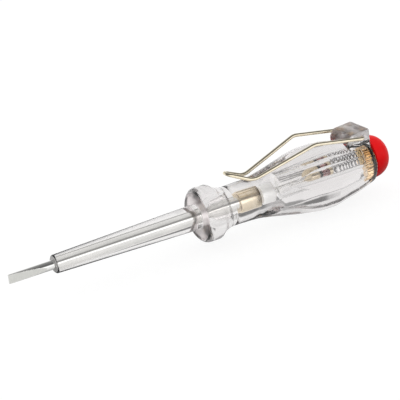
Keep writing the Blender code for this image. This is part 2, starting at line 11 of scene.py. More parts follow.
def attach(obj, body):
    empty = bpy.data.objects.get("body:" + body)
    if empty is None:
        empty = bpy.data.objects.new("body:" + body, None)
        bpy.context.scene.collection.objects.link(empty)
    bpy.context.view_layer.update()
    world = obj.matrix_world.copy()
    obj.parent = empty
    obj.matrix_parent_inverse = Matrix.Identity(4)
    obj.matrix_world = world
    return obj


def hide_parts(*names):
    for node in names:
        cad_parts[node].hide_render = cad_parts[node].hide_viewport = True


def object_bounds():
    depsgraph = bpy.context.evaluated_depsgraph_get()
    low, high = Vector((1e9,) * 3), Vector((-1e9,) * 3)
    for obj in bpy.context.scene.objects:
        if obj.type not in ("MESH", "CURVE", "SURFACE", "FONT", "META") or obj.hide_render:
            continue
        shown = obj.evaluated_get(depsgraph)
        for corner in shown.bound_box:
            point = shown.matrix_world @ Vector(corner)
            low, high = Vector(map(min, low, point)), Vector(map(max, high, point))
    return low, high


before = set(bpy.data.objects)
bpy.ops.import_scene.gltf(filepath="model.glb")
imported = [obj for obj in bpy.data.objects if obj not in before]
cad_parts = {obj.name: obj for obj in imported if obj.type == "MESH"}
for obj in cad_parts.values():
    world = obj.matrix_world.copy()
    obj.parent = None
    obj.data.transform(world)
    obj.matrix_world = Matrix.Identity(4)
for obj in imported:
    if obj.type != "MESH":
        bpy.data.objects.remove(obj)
cad_low, cad_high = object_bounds()

MM = 0.001

# The tool's axis in the frame
HALF_LENGTH = (cad_high.x - cad_low.x) / 2
AXIS_HEIGHT = 11.2456 * MM

# Camera, from the photograph's outline
CAMERA_PLACE = (-0.333025, -0.6186574, 0.2863092)
CAMERA_RIGHT = (0.851603, -0.510089, -0.120755)
CAMERA_UP = (0.282341, 0.252265, 0.925552)
CAMERA_BACK = (-0.441652, -0.822297, 0.358848)
CAMERA_LENS = 213.491

# Blade
BLADE_RADIUS = 1.5 * MM
BLADE_BARE_LENGTH = 15.7 * MM
BLADE_FLAT_LENGTH = 12.4 * MM
BLADE_TIP_HALF = 0.25 * MM
BLADE_REAR = 87.01 * MM

# Sleeve
SLEEVE_FRONT_RADIUS = 3.0 * MM
SLEEVE_REAR_RADIUS = 4.2 * MM
SLEEVE_EDGE = 0.5 * MM
SPIGOT_RADIUS = 3.4 * MM
SPIGOT_REAR = 77.0 * MM
SPIGOT_GAP = 0.25 * MM
SPIGOT_SIDES = 8
SPIGOT_EDGE = 0.2 * MM
SEAT_GAP = 0.02 * MM

# Handle outline
HANDLE_FRONT = 67.3 * MM
HANDLE_REAR = 132.4 * MM
COLLAR_RADIUS = 9.1 * MM
COLLAR_REAR = 72.3 * MM
COLLAR_EDGE = 2.1 * MM
NECK_RADIUS = 6.6 * MM
NECK_FRONT = 78.5 * MM
NECK_REAR = 80.0 * MM
CREASE_WIDTH = 0.5 * MM
CREASE_DEPTH = 0.15 * MM
BELLY_RADIUS = 11.3 * MM
BELLY_FRONT = 111.5 * MM
BELLY_REAR = 115.5 * MM
RIM_RADIUS = 7.5 * MM
RIM_EDGE = 0.3 * MM
COVE_SHARES = [(0, 0), (0.1, 0.08), (0.23, 0.31), (0.45, 0.65), (0.68, 0.85), (0.84, 0.95), (1, 1)]
SHOULDER_SHARES = [(0, 0), (0.25, 0.057), (0.40, 0.22), (0.53, 0.395), (0.67, 0.613), (0.81, 0.838),
                   (0.94, 0.977), (1, 1)]
TAIL_SHARES = [(0, 0), (0.1, 0.085), (0.27, 0.25), (0.44, 0.38), (0.62, 0.55), (0.80, 0.765), (1, 1)]

# Flutes
FLUTE_COUNT = 8
FLUTE_HALF_ANGLE = math.radians(15.5)
FLUTE_TURN = math.radians(3.0)
FLUTE_HOLLOW = 0.25 * MM
FLUTE_START = 94.0 * MM
FLUTE_RUN_IN = 14.0 * MM
FLUTE_RUN_OUT = 6.0 * MM
FLUTE_EDGE_BLEND = 0.04 * MM
FLUTE_FULL_BLEND_ANGLE = 0.1
FLUTE_EDGE_ZONE = math.radians(1.6)
FLUTE_LEAST_ANGLE = math.radians(0.5)

# Lug
LUG_WIDTH = 11.0 * MM
LUG_TOP = 12.8 * MM
LUG_TOP_LENGTH = 7.3 * MM
LUG_TOP_FALL = 0.5 * MM
LUG_FRONT_RUN = 1.6 * MM
LUG_FRONT_DROP = 2.2 * MM
LUG_DEPTH = 6.6 * MM
LUG_REAR = 131.9 * MM
LUG_EDGE = 0.8 * MM
PIN_PLACE = 128.7 * MM
PIN_HEIGHT = 10.3 * MM
PIN_HOLE_RADIUS = 0.9 * MM

# Clip
WIRE_RADIUS = 0.6 * MM
CLIP_STUB_LENGTH = 3.4 * MM
CLIP_REAR_RUN = 18.7 * MM
CLIP_BEND_HEIGHT = 13.6 * MM
CLIP_FRONT_RUN = 22.2 * MM
CLIP_NECK_SPACING = 6.2 * MM
CLIP_CURL_RUN = 8.1 * MM
CLIP_CURL_RISE = 3.8 * MM
CLIP_TIP_SPACING = 3.2 * MM
CLIP_GAP = 0.3 * MM
CLIP_STUB_BEND = 0.9 * MM
CLIP_REAR_BEND = 5.0 * MM
CLIP_NECK_BEND = 6.0 * MM

# Inner train. Its rear part, from the chamber to the cap, sits a little above the tool's axis
REAR_RISE = 0.85 * MM
BUSH_FRONT = 81.71 * MM
BUSH_REAR = 89.71 * MM
BUSH_RADIUS = 2.25 * MM
RESISTOR_FRONT = 90.31 * MM
RESISTOR_REAR = 95.61 * MM
RESISTOR_RADIUS = 2.1 * MM
LEAD_RADIUS = 0.6 * MM
CHAMBER_FRONT = 96.5 * MM
CHAMBER_RADIUS = 3.0 * MM
CHAMBER_STEP = 0.7 * MM
LAMP_FRONT = 109.0 * MM
LAMP_REAR = 116.7 * MM
LAMP_CAP_RADIUS = 2.4 * MM
LAMP_WALL = 0.3 * MM
LAMP_FRONT_BASE = 1.5 * MM
LAMP_FRONT_CUP = 3.2 * MM
LAMP_REAR_BASE = 0.6 * MM
LAMP_REAR_CUP = 1.2 * MM
DARK_RING_LENGTH = 1.2 * MM
ELECTRODE_LENGTH = 3.6 * MM
ELECTRODE_RADIUS = 0.2 * MM
ELECTRODE_SIDE = 0.55 * MM
SPRING_FRONT = 117.0 * MM
SPRING_REAR = 127.7 * MM
SPRING_RADIUS = 2.45 * MM
SPRING_WIRE_RADIUS = 0.25 * MM
SPRING_TURNS = 8
SCREW_FRONT = 128.0 * MM
SCREW_NOSE_LENGTH = 0.9 * MM
SCREW_NOSE_RADIUS = 2.4 * MM
SCREW_HEAD_LENGTH = 2.0 * MM
SCREW_HEAD_RADIUS = 4.5 * MM
THREAD_ROOT = 2.6 * MM
THREAD_CREST = 3.0 * MM
THREAD_PITCH = 0.75 * MM
THREAD_RIDGES = 5
INSERT_FRONT = 128.4 * MM
INSERT_REAR = 131.6 * MM
INSERT_RADIUS = 5.2 * MM
INSERT_BORE = 3.3 * MM
KNURL_COUNT = 40
KNURL_DEPTH = 0.42 * MM
SEAL_FRONT = 131.7 * MM
SEAL_REAR = 132.1 * MM
SEAL_RADIUS = 5.7 * MM
SEAL_BORE = 3.5 * MM
CAP_FRONT = 132.7 * MM
CAP_RADIUS = 7.25 * MM
CAP_HEIGHT = 7.3 * MM
CAP_FULLNESS = 1.2
CAP_ROOM_RADIUS = 4.8 * MM
CAP_ROOM_DEPTH = 2.6 * MM
TOUCH_RADIUS = 2.0 * MM
TOOL_END = 140.0 * MM

# Frosted and satin parts of the clear plastic, in the frame: the lug, above a height and behind a
# place, and the handle's front face, between two places. The face also has painted pinkish shade
LUG_SATIN_HEIGHT = AXIS_HEIGHT + 9.3 * MM
LUG_SATIN_PLACE = LUG_REAR - 10 * MM - HALF_LENGTH
FACE_SATIN_AND_SHADE_START = HANDLE_FRONT - 0.1 * MM - HALF_LENGTH
FACE_SATIN_AND_SHADE_END = HANDLE_FRONT + 0.2 * MM - HALF_LENGTH
DRAW_MARK_SHARE = 0.6
SMOKE_COLOR = (0.50, 0.455, 0.455)
SMOKE_DENSITY = 22.0

# Studio: greys by height round the tool's length in degrees (0 the camera's side, 90 overhead, 180
# behind), by direction along the tool, and on the floor by place across it
FLOOR_GREY = 0.16
FLOOR_GLOW = 0.85
# The floor's greys for gloss and glass are a painted shadow under the tool
FLOOR_GLOSS_SHADES = [(-0.10, 1.0), (-0.019, 1.0), (-0.008, 0.72), (0.002, 0.4), (0.008, 0.35),
                      (0.014, 0.5), (0.023, 0.85), (0.04, 0.95), (0.30, 1.0)]
FLOOR_GLASS_SHADES = [(-0.10, 1.0), (-0.012, 1.0), (-0.005, 0.92), (0.002, 0.85), (0.006, 0.88),
                      (0.011, 1.0), (0.30, 1.0)]
GLOSS_SHADES = [(0, 1.5), (20, 1.5), (32, 0.6), (42, 0.16), (60, 0.13), (88, 0.22), (125, 0.3),
                (145, 0.5), (162, 0.9), (180, 1.0)]
GLOSS_WAYS = [(-1.0, 0.1), (-0.8, 0.35), (-0.55, 1.0), (0.6, 1.0), (1.0, 0.6)]
GLASS_SHADES = [(0, 1.8), (20, 1.8), (32, 0.8), (40, 0.35), (60, 0.35), (76, 0.8), (120, 0.95),
                (150, 1.0), (180, 1.0)]
GLASS_WAYS = [(-1.0, 1.0), (0.6, 1.0), (1.0, 0.6)]

# A dark screen behind the tool's rear end, which only glass shows: in directions, and on the floor
SCREEN_GREY = 0.2
SCREEN_HEIGHTS = [(0, 0.0), (163, 0.0), (169, 1.0), (180, 1.0)]
SCREEN_WAYS = [(-1.0, 0.0), (0.32, 0.0), (0.46, 1.0), (0.62, 1.0), (0.74, 0.4), (1.0, 0.4)]
# On the floor the screen is a painted dark patch, with no screen standing there
SCREEN_PLACES = [(-0.2, 0.0), (0.068, 0.0), (0.084, 1.0), (0.5, 1.0)]
SCREEN_DEPTHS = [(-0.2, 0.0), (0.042, 0.0), (0.056, 1.0), (0.5, 1.0)]

# Meshes: steps round a turned piece, and the least angle of a sharp edge
ROUND_STEPS = 96
SMALL_STEPS = 64
SHARP_ANGLE = math.radians(35)


# Node helpers
class Nodes:
    """Short calls for the nodes of one tree."""

    def __init__(self, tree):
        self.nodes = tree.nodes
        self.links = tree.links

    def feed(self, socket, value):
        """Links a socket or sets it. A single number on a colour socket is a grey."""
        if isinstance(value, bpy.types.NodeSocket):
            self.links.new(value, socket)
        elif isinstance(value, tuple):
            socket.default_value = (*value, 1)
        elif socket.type == "RGBA":
            socket.default_value = (value, value, value, 1)
        else:
            socket.default_value = value

    def math(self, operation, *values):
        node = self.nodes.new("ShaderNodeMath")
        node.operation = operation
        for socket, value in zip(node.inputs, values):
            self.feed(socket, value)
        return node.outputs[0]

    def mix(self, share, first, second, blend="MIX"):
        node = self.nodes.new("ShaderNodeMix")
        node.data_type = "RGBA"
        node.blend_type = blend
        for place, value in ((0, share), (6, first), (7, second)):
            self.feed(node.inputs[place], value)
        return node.outputs[2]

    def ramp(self, value, *stops):
        """Stops are (position, colour or grey)."""
        node = self.nodes.new("ShaderNodeValToRGB")
        ramp = node.color_ramp
        while len(ramp.elements) < len(stops):
            ramp.elements.new(1.0)
        for element, (position, color) in zip(ramp.elements, stops):
            element.position = position
            element.color = (*color, 1) if isinstance(color, tuple) else (color, color, color, 1)
        self.links.new(value, node.inputs["Fac"])
        return node.outputs["Color"]

    def split(self, vector):
        """A vector's X, Y and Z."""
        node = self.nodes.new("ShaderNodeSeparateXYZ")
        self.links.new(vector, node.inputs[0])
        return node.outputs


class Finish(Nodes):
    """A procedural material, with short calls for its textures."""

    def __init__(self, name):
        self.material = bpy.data.materials.new(name)
        self.material.use_nodes = True
        super().__init__(self.material.node_tree)
        self.shader = self.nodes["Principled BSDF"]
        self.place = self.nodes.new("ShaderNodeTexCoord").outputs["Object"]

    def set(self, **values):
        for key, value in values.items():
            self.shader.inputs[key.replace("_", " ")].default_value = value

    def scaled(self, scale):
        node = self.nodes.new("ShaderNodeMapping")
        node.inputs["Scale"].default_value = scale
        self.links.new(self.place, node.inputs["Vector"])
        return node.outputs["Vector"]

    def noise(self, scale, detail=3.0, rough=0.5, vector=None, twist=0.0):
        node = self.nodes.new("ShaderNodeTexNoise")
        settings = {"Scale": scale, "Detail": detail, "Roughness": rough, "Distortion": twist}
        for key, value in settings.items():
            node.inputs[key].default_value = value
        self.links.new(vector or self.place, node.inputs["Vector"])
        return node.outputs["Fac"]

    def bump(self, height, distance, strength=1.0):
        node = self.nodes.new("ShaderNodeBump")
        node.inputs["Strength"].default_value = strength
        node.inputs["Distance"].default_value = distance
        self.links.new(height, node.inputs["Height"])
        self.links.new(node.outputs["Normal"], self.shader.inputs["Normal"])

    def to(self, name, value):
        self.links.new(value, self.shader.inputs[name])


# Finishes
def clear_finish(name, wave=0.02 * MM, rough_high=0.05):
    """Clear moulded plastic with draw marks along it. The lug is frosted, and the handle's front face
    is satin, with a darker pinkish painted shade on it."""
    finish = Finish(name)
    finish.set(IOR=1.49, Transmission_Weight=1.0)
    place = finish.split(finish.place)
    on_lug = finish.math("MULTIPLY", finish.math("GREATER_THAN", place["Z"], LUG_SATIN_HEIGHT),
                         finish.math("GREATER_THAN", place["X"], LUG_SATIN_PLACE))
    on_face_satin_and_shade = finish.math("MULTIPLY", finish.math("LESS_THAN", place["X"], FACE_SATIN_AND_SHADE_END),
                          finish.math("GREATER_THAN", place["X"], FACE_SATIN_AND_SHADE_START))
    on_satin_and_shade = finish.math("MAXIMUM", on_lug, on_face_satin_and_shade)
    scuffs = finish.noise(900, 4.0, 0.6, finish.scaled((0.25, 1, 1)))
    polish = finish.ramp(scuffs, (0.45, 0.012), (0.75, rough_high))
    satin = finish.ramp(scuffs, (0.4, 0.28), (0.7, 0.4))
    frost = finish.ramp(scuffs, (0.4, 0.4), (0.7, 0.6))
    finish.to("Roughness", finish.mix(on_satin_and_shade, polish, finish.mix(on_lug, satin, frost)))
    cloud = finish.noise(90, 2.0, 0.5)
    clear_tint = finish.ramp(cloud, (0.3, (0.965, 0.955, 0.95)), (0.7, (0.99, 0.987, 0.982)))
    mottle = finish.noise(700, 3.0, 0.6)
    # Painted shade: the front face is tinted darker and pinkish, though the plastic is clear all through
    face_painted_shade = finish.ramp(mottle, (0.3, (0.66, 0.575, 0.575)), (0.7, (0.84, 0.76, 0.755)))
    lug_tint = finish.ramp(scuffs, (0.3, (0.95, 0.92, 0.915)), (0.7, (1.0, 0.985, 0.98)))
    finish.to("Base Color", finish.mix(on_satin_and_shade, clear_tint, finish.mix(on_lug, face_painted_shade, lug_tint)))
    flow = finish.noise(220, 2.0, 0.4, finish.scaled((0.18, 1, 1)), 0.6)
    drawn = finish.noise(1300, 2.0, 0.5, finish.scaled((0.035, 1, 1)))
    finish.bump(finish.math("ADD", flow, finish.math("MULTIPLY", drawn, DRAW_MARK_SHARE)), wave)
    depth = finish.nodes.new("ShaderNodeVolumeAbsorption")
    depth.inputs["Color"].default_value = (*SMOKE_COLOR, 1)
    depth.inputs["Density"].default_value = SMOKE_DENSITY
    finish.links.new(depth.outputs[0], finish.nodes["Material Output"].inputs["Volume"])
    return finish.material


def sawn_finish(name):
    """The sleeve's cut end, hazy with fine saw marks."""
    finish = Finish(name)
    finish.set(IOR=1.49, Transmission_Weight=0.4)
    marks = finish.noise(4000, 3.0, 0.6, finish.scaled((1, 1, 0.15)))
    finish.to("Base Color", finish.ramp(marks, (0.3, (0.62, 0.61, 0.60)), (0.7, (0.86, 0.85, 0.84))))
    finish.to("Roughness", finish.ramp(marks, (0.3, 0.35), (0.7, 0.55)))
    finish.bump(marks, 0.02 * MM, 0.6)
    return finish.material


def steel_finish(name):
    finish = Finish(name)
    finish.set(Metallic=1.0)
    cloud = finish.noise(500, 4.0, 0.6, finish.scaled((0.3, 1, 1)))
    finish.to("Base Color", finish.ramp(cloud, (0.3, (0.78, 0.78, 0.76)), (0.7, (0.88, 0.875, 0.855))))
    drawn = finish.noise(6000, 3.0, 0.6, finish.scaled((0.02, 1, 1)))
    finish.to("Roughness", finish.ramp(drawn, (0.3, 0.08), (0.8, 0.17)))
    finish.bump(drawn, 0.006 * MM, 0.6)
    return finish.material


def ground_finish(name):
    """The blade's ground flats, with fine marks across the blade."""
    finish = Finish(name)
    finish.set(Metallic=1.0)
    marks = finish.noise(9000, 2.0, 0.5, finish.scaled((1, 1, 0.04)))
    finish.to("Base Color", finish.ramp(marks, (0.3, (0.64, 0.64, 0.61)), (0.75, (0.74, 0.74, 0.71))))
    finish.to("Roughness", finish.ramp(marks, (0.3, 0.36), (0.8, 0.5)))
    finish.bump(marks, 0.01 * MM, 0.7)
    return finish.material


def brass_finish(name, dark, light, rough_low=0.14, rough_high=0.28):
    """Turned brass, with fine tool marks round it."""
    finish = Finish(name)
    finish.set(Metallic=1.0)
    cloud = finish.noise(700, 4.0, 0.6)
    finish.to("Base Color", finish.ramp(cloud, (0.3, dark), (0.7, light)))
    marks = finish.noise(8000, 2.0, 0.5, finish.scaled((1, 0.05, 0.05)))
    finish.to("Roughness", finish.ramp(marks, (0.3, rough_low), (0.8, rough_high)))
    finish.bump(marks, 0.006 * MM, 0.6)
    return finish.material


def wire_finish(name, dark, light, rough_low, rough_high):
    finish = Finish(name)
    finish.set(Metallic=1.0)
    cloud = finish.noise(900, 4.0, 0.6)
    finish.to("Base Color", finish.ramp(cloud, (0.3, dark), (0.7, light)))
    finish.to("Roughness", finish.ramp(finish.noise(2500, 3.0), (0.3, rough_low), (0.8, rough_high)))
    finish.bump(finish.noise(4000, 3.0), 0.004 * MM, 0.5)
    return finish.material


def coat_painted_glow_finish(name):
    """A pale silvery frosted coat with fine streaks along the body, and a faint painted glow."""
    finish = Finish(name)
    # Painted glow: a faint emission that brightens the resistor, which is no lamp
    finish.set(Metallic=1.0, Emission_Color=(0.95, 0.95, 0.93, 1), Emission_Strength=0.3)
    streaks = finish.noise(1800, 4.0, 0.7, finish.scaled((0.16, 1, 1)), 0.8)
    finish.to("Base Color", finish.ramp(streaks, (0.35, (0.84, 0.84, 0.83)), (0.5, (0.95, 0.95, 0.94)),
                                        (0.7, (0.99, 0.99, 0.98))))
    finish.to("Roughness", finish.ramp(streaks, (0.3, 0.45), (0.7, 0.6)))
    finish.bump(streaks, 0.06 * MM, 0.8)
    return finish.material


def lamp_finish(name):
    finish = Finish(name)
    finish.set(IOR=1.5, Transmission_Weight=0.75)
    cloud = finish.noise(400, 3.0)
    finish.to("Base Color", finish.ramp(cloud, (0.3, (0.82, 0.46, 0.47)), (0.7, (0.93, 0.62, 0.61))))
    finish.to("Roughness", finish.ramp(finish.noise(1500, 3.0), (0.3, 0.08), (0.8, 0.2)))
    finish.bump(finish.noise(600, 2.0), 0.01 * MM, 0.4)
    return finish.material


def dark_finish(name):
    finish = Finish(name)
    finish.set(Metallic=0.6)
    cloud = finish.noise(1500, 4.0)
    finish.to("Base Color", finish.ramp(cloud, (0.3, (0.05, 0.045, 0.045)), (0.8, (0.14, 0.13, 0.12))))
    finish.to("Roughness", finish.ramp(cloud, (0.3, 0.4), (0.8, 0.6)))
    finish.bump(cloud, 0.01 * MM, 0.5)
    return finish.material


def rubber_finish(name):
    finish = Finish(name)
    cloud = finish.noise(1200, 4.0, 0.6)
    finish.to("Base Color", finish.ramp(cloud, (0.3, (0.012, 0.012, 0.012)), (0.8, (0.03, 0.03, 0.03))))
    finish.to("Roughness", finish.ramp(cloud, (0.3, 0.45), (0.8, 0.65)))
    finish.bump(finish.noise(5000, 3.0), 0.01 * MM, 0.6)
    return finish.material


def red_finish(name):
    """Satin red plastic with a fine spark-eroded grain."""
    finish = Finish(name)
    finish.set(IOR=1.5, Specular_IOR_Level=0.15)
    cloud = finish.noise(260, 3.0, 0.5)
    finish.to("Base Color", finish.ramp(cloud, (0.3, (0.87, 0.002, 0.004)), (0.7, (0.94, 0.003, 0.006))))
    grain = finish.noise(3600, 3.0, 0.6)
    finish.to("Roughness", finish.ramp(grain, (0.3, 0.34), (0.8, 0.46)))
    finish.bump(grain, 0.012 * MM, 0.5)
    return finish.material


# Mesh helpers
def at(along, radius, angle, rise=0.0):
    """The frame's point at a place along the tool, a radius and an angle from +Z towards -Y, round
    the tool's axis or one above it."""
    return Vector((along - HALF_LENGTH, -radius * math.sin(angle),
                   AXIS_HEIGHT + rise + radius * math.cos(angle)))


def new_piece(name, shape, body, material, replaced=(), sharp=SHARP_ANGLE):
    """A visible piece from a form, with its material, its body and the nodes that it stands for."""
    mesh = bpy.data.meshes.new(name)
    shape.to_mesh(mesh)
    shape.free()
    mesh.materials.append(material)
    mesh.shade_smooth()
    mesh.set_sharp_from_angle(angle=sharp)
    piece = bpy.data.objects.new(name, mesh)
    bpy.context.scene.collection.objects.link(piece)
    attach(piece, body)
    if replaced:
        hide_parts(*replaced)
    return piece


def add_lathe(shape, outline, steps=ROUND_STEPS, radius_at=None, rise=0.0):
    """Adds a turned form: outline is (place, radius) points from the front to the rear, on the outer
    side, and it closes on the axis where a radius is zero, or on itself."""
    rings = []
    for along, radius in outline:
        if radius <= 0:
            rings.append([shape.verts.new(at(along, 0, 0, rise))])
            continue
        ring = []
        for i in range(steps):
            angle = math.tau * i / steps
            reach = radius_at(along, radius, angle) if radius_at else radius
            ring.append(shape.verts.new(at(along, reach, angle, rise)))
        rings.append(ring)
    closed = outline[0][1] > 0
    pairs = list(zip(rings, rings[1:]))
    if closed:
        pairs.append((rings[-1], rings[0]))
    for first, second in pairs:
        for i in range(steps):
            j = (i + 1) % steps
            if len(first) == 1:
                face = [first[0], second[j], second[i]]
            elif len(second) == 1:
                face = [first[i], first[j], second[0]]
            else:
                face = [first[i], first[j], second[j], second[i]]
            shape.faces.new(face)
    return shape


def outward(shape):
    bmesh.ops.recalc_face_normals(shape, faces=shape.faces)
    return shape


def rounded(corners, steps=4):
    """(place, radius) corners, each (place, radius, fillet), with the fillets drawn as arcs."""
    points = []
    last = len(corners) - 1
    for i, (along, radius, fillet) in enumerate(corners):
        corner = Vector((along, radius))
        if fillet <= 0 or i in (0, last):
            points.append((along, radius))
            continue
        before = (Vector(corners[i - 1][:2]) - corner).normalized()
        after = (Vector(corners[i + 1][:2]) - corner).normalized()
        half = before.angle(after) / 2
        reach = fillet / math.tan(half)
        start, end = corner + before * reach, corner + after * reach
        center = corner + (before + after).normalized() * (fillet / math.sin(half))
        first, final = start - center, end - center
        turn = first.angle_signed(final)
        for k in range(steps + 1):
            step = Matrix.Rotation(-turn * k / steps, 2) @ first
            points.append(tuple(center + step))
    return points


def turned(corners, fillet_steps=4, steps=ROUND_STEPS, radius_at=None, rise=0.0):
    """A turned form from (place, radius, fillet) corners."""
    return outward(add_lathe(bmesh.new(), rounded(corners, fillet_steps), steps, radius_at, rise))


def curve_through(shares, start, length, radius, change, samples):
    """(place, radius) points on a smooth curve through shares of a length and a change of radius."""
    points = []
    last = len(shares) - 1
    for i in range(last):
        before = shares[max(i - 1, 0)]
        after = shares[min(i + 2, last)]
        for k in range(samples):
            t = k / samples
            share = []
            for axis in (0, 1):
                p0, p1, p2, p3 = before[axis], shares[i][axis], shares[i + 1][axis], after[axis]
                share.append(0.5 * (2 * p1 + (p2 - p0) * t + (2 * p0 - 5 * p1 + 4 * p2 - p3) * t ** 2
                                    + (3 * p1 - p0 - 3 * p2 + p3) * t ** 3))
            points.append((start + length * share[0], radius + change * share[1]))
    points.append((start + length * shares[last][0], radius + change * shares[last][1]))
    return points


# Pieces
def handle_outline():
    """(place, radius) points along the handle, with its flutes left out."""
    front = rounded([(HANDLE_FRONT, 0, 0), (HANDLE_FRONT, COLLAR_RADIUS, COLLAR_EDGE),
                     (COLLAR_REAR, COLLAR_RADIUS, 0)], steps=6)[1:]
    cove = curve_through(COVE_SHARES, COLLAR_REAR, NECK_FRONT - COLLAR_REAR, COLLAR_RADIUS,
                         NECK_RADIUS - COLLAR_RADIUS, samples=5)
    groove = [(NECK_FRONT + CREASE_WIDTH / 2, NECK_RADIUS - CREASE_DEPTH),
              (NECK_FRONT + CREASE_WIDTH, NECK_RADIUS)]
    shoulder = curve_through(SHOULDER_SHARES, NECK_REAR, BELLY_FRONT - NECK_REAR, NECK_RADIUS,
                             BELLY_RADIUS - NECK_RADIUS, samples=8)
    tail = curve_through(TAIL_SHARES, BELLY_REAR, HANDLE_REAR - RIM_EDGE - BELLY_REAR, BELLY_RADIUS,
                         RIM_RADIUS - BELLY_RADIUS, samples=6)
    return front[:-1] + cove + groove + shoulder + tail + [(HANDLE_REAR, RIM_RADIUS - RIM_EDGE)]


def eased(value):
    """A share from 0 to 1 that starts and ends softly."""
    share = min(max(value, 0.0), 1.0)
    return share * share * (3 - 2 * share)


def flute_half_angle(along):
    """Half a flute's angle at a place. It grows from nothing and runs out again."""
    return FLUTE_HALF_ANGLE * eased((along - FLUTE_START) / FLUTE_RUN_IN) * eased(
        (HANDLE_REAR - along) / FLUTE_RUN_OUT)


def smooth_least(a, b, blend):
    """The smaller of two values, with a soft change from one to the other."""
    share = min(max(0.5 + 0.5 * (b - a) / blend, 0.0), 1.0)
    return b + (a - b) * share - blend * share * (1 - share)


def sector_angles(half):
    """Angles over one flute and the land beside it, close together at the flute's edges."""
    half = max(half, FLUTE_LEAST_ANGLE)
    zone = min(FLUTE_EDGE_ZONE, half / 6)
    flat = [half * k / 7 for k in range(-5, 6)]
    edge = [half + zone * k / 2 for k in range(-2, 3)]
    land_start = half + zone
    land_end = math.pi / FLUTE_COUNT
    land = [land_start + (land_end - land_start) * k / 3 for k in (1, 2)]
    before = [-v for v in reversed(edge + land)]
    return before + flat + edge + land + [land_end]


def flute_hollow(offset, half):
    """How far a flute's floor dips below a flat, at an angle from the flute's middle."""
    if not half:
        return 0
    return FLUTE_HOLLOW * half / FLUTE_HALF_ANGLE * max(1 - (offset / half) ** 2, 0)


def make_barrel():
    """The handle's outside with its flutes, closed at both ends."""
    shape = bmesh.new()
    pitch = math.tau / FLUTE_COUNT
    rings = []
    outline = handle_outline()
    for along, radius in outline:
        half = flute_half_angle(along)
        ring = []
        for sector in range(FLUTE_COUNT):
            center = pitch * (sector + 0.5) + FLUTE_TURN
            for offset in sector_angles(half):
                flat = radius * math.cos(half) / math.cos(offset) - flute_hollow(offset, half)
                reach = radius
                if half > FLUTE_LEAST_ANGLE:
                    blend = FLUTE_EDGE_BLEND * min(1.0, half / FLUTE_FULL_BLEND_ANGLE)
                    reach = smooth_least(radius, flat, blend)
                ring.append(shape.verts.new(at(along, reach, center + offset)))
        rings.append(ring)
    count = len(rings[0])
    for first, second in zip(rings, rings[1:]):
        for i in range(count):
            j = (i + 1) % count
            shape.faces.new([first[i], first[j], second[j], second[i]])
    for ring, along in ((rings[0], outline[0][0]), (rings[-1], outline[-1][0])):
        middle = shape.verts.new(at(along, 0, 0))
        for i in range(count):
            shape.faces.new([ring[i], ring[(i + 1) % count], middle])
    return outward(shape)


def make_lug():
    """The lug's side outline drawn out to its width, with rounded edges."""
    shape = bmesh.new()
    top_front = LUG_REAR - LUG_TOP_LENGTH
    low_front = top_front - LUG_FRONT_RUN
    low_height = LUG_TOP - LUG_TOP_FALL - LUG_FRONT_DROP
    foot = LUG_TOP - LUG_DEPTH
    corners = [(LUG_REAR, LUG_TOP), (top_front, LUG_TOP - LUG_TOP_FALL), (low_front, low_height),
               (low_front, foot), (LUG_REAR, foot)]
    sides = []
    for side in (-1, 1):
        sides.append([shape.verts.new((along - HALF_LENGTH, side * LUG_WIDTH / 2, AXIS_HEIGHT + height))
                      for along, height in corners])
    shape.faces.new(sides[0])
    shape.faces.new(sides[1][::-1])
    for i in range(len(corners)):
        j = (i + 1) % len(corners)
        shape.faces.new([sides[0][i], sides[1][i], sides[1][j], sides[0][j]])
    outward(shape)
    high = [e for e in shape.edges if max(v.co.z for v in e.verts) > AXIS_HEIGHT + foot + LUG_EDGE]
    bmesh.ops.bevel(shape, geom=high, offset=LUG_EDGE, segments=5, profile=0.5, affect="EDGES")
    return outward(shape)


def make_hole():
    """The bore across the lug for the clip's stubs."""
    shape = bmesh.new()
    middle = (PIN_PLACE - HALF_LENGTH, 0, AXIS_HEIGHT + PIN_HEIGHT)
    across = Matrix.Translation(middle) @ Matrix.Rotation(math.radians(90), 4, "X")
    bmesh.ops.create_cone(shape, cap_ends=True, segments=32, radius1=PIN_HOLE_RADIUS,
                          radius2=PIN_HOLE_RADIUS, depth=LUG_WIDTH * 1.2, matrix=across)
    return outward(shape)


def loose(name, shape):
    """An object in millimetres, which suit the boolean solver better."""
    mesh = bpy.data.meshes.new(name)
    bmesh.ops.scale(shape, verts=shape.verts, vec=Vector((1, 1, 1)) / MM)
    shape.to_mesh(mesh)
    shape.free()
    thing = bpy.data.objects.new(name, mesh)
    bpy.context.scene.collection.objects.link(thing)
    return thing


def make_bore():
    """The room behind the resistor for lamp, spring, insert, seal and screw. Its wall runs just inside
    the insert and the seal, which the plastic grips."""
    edge = 0.1 * MM
    grip = 0.12 * MM
    insert_wall = INSERT_RADIUS - 0.4 * MM
    seal_wall = SEAL_RADIUS - grip
    end = HANDLE_REAR + 1 * MM
    corners = [(CHAMBER_FRONT, 0, 0), (CHAMBER_FRONT, CHAMBER_RADIUS - CHAMBER_STEP, edge),
               (CHAMBER_FRONT + CHAMBER_STEP, CHAMBER_RADIUS, edge),
               (INSERT_FRONT + grip, CHAMBER_RADIUS, 0), (INSERT_FRONT + grip, insert_wall, 0),
               (SEAL_FRONT + grip, insert_wall, 0), (SEAL_FRONT + grip, seal_wall, 0),
               (end, seal_wall, 0), (end, 0, 0)]
    return turned(corners, rise=REAR_RISE)


def spigot_flats(along, radius, angle):
    """The spigot and its socket have eight flats."""
    if along < HANDLE_FRONT - 2 * SEAT_GAP or radius > SPIGOT_RADIUS + SPIGOT_GAP:
        return radius
    pitch = math.tau / SPIGOT_SIDES
    return radius * math.cos(pitch / 2) / math.cos(angle % pitch - pitch / 2)


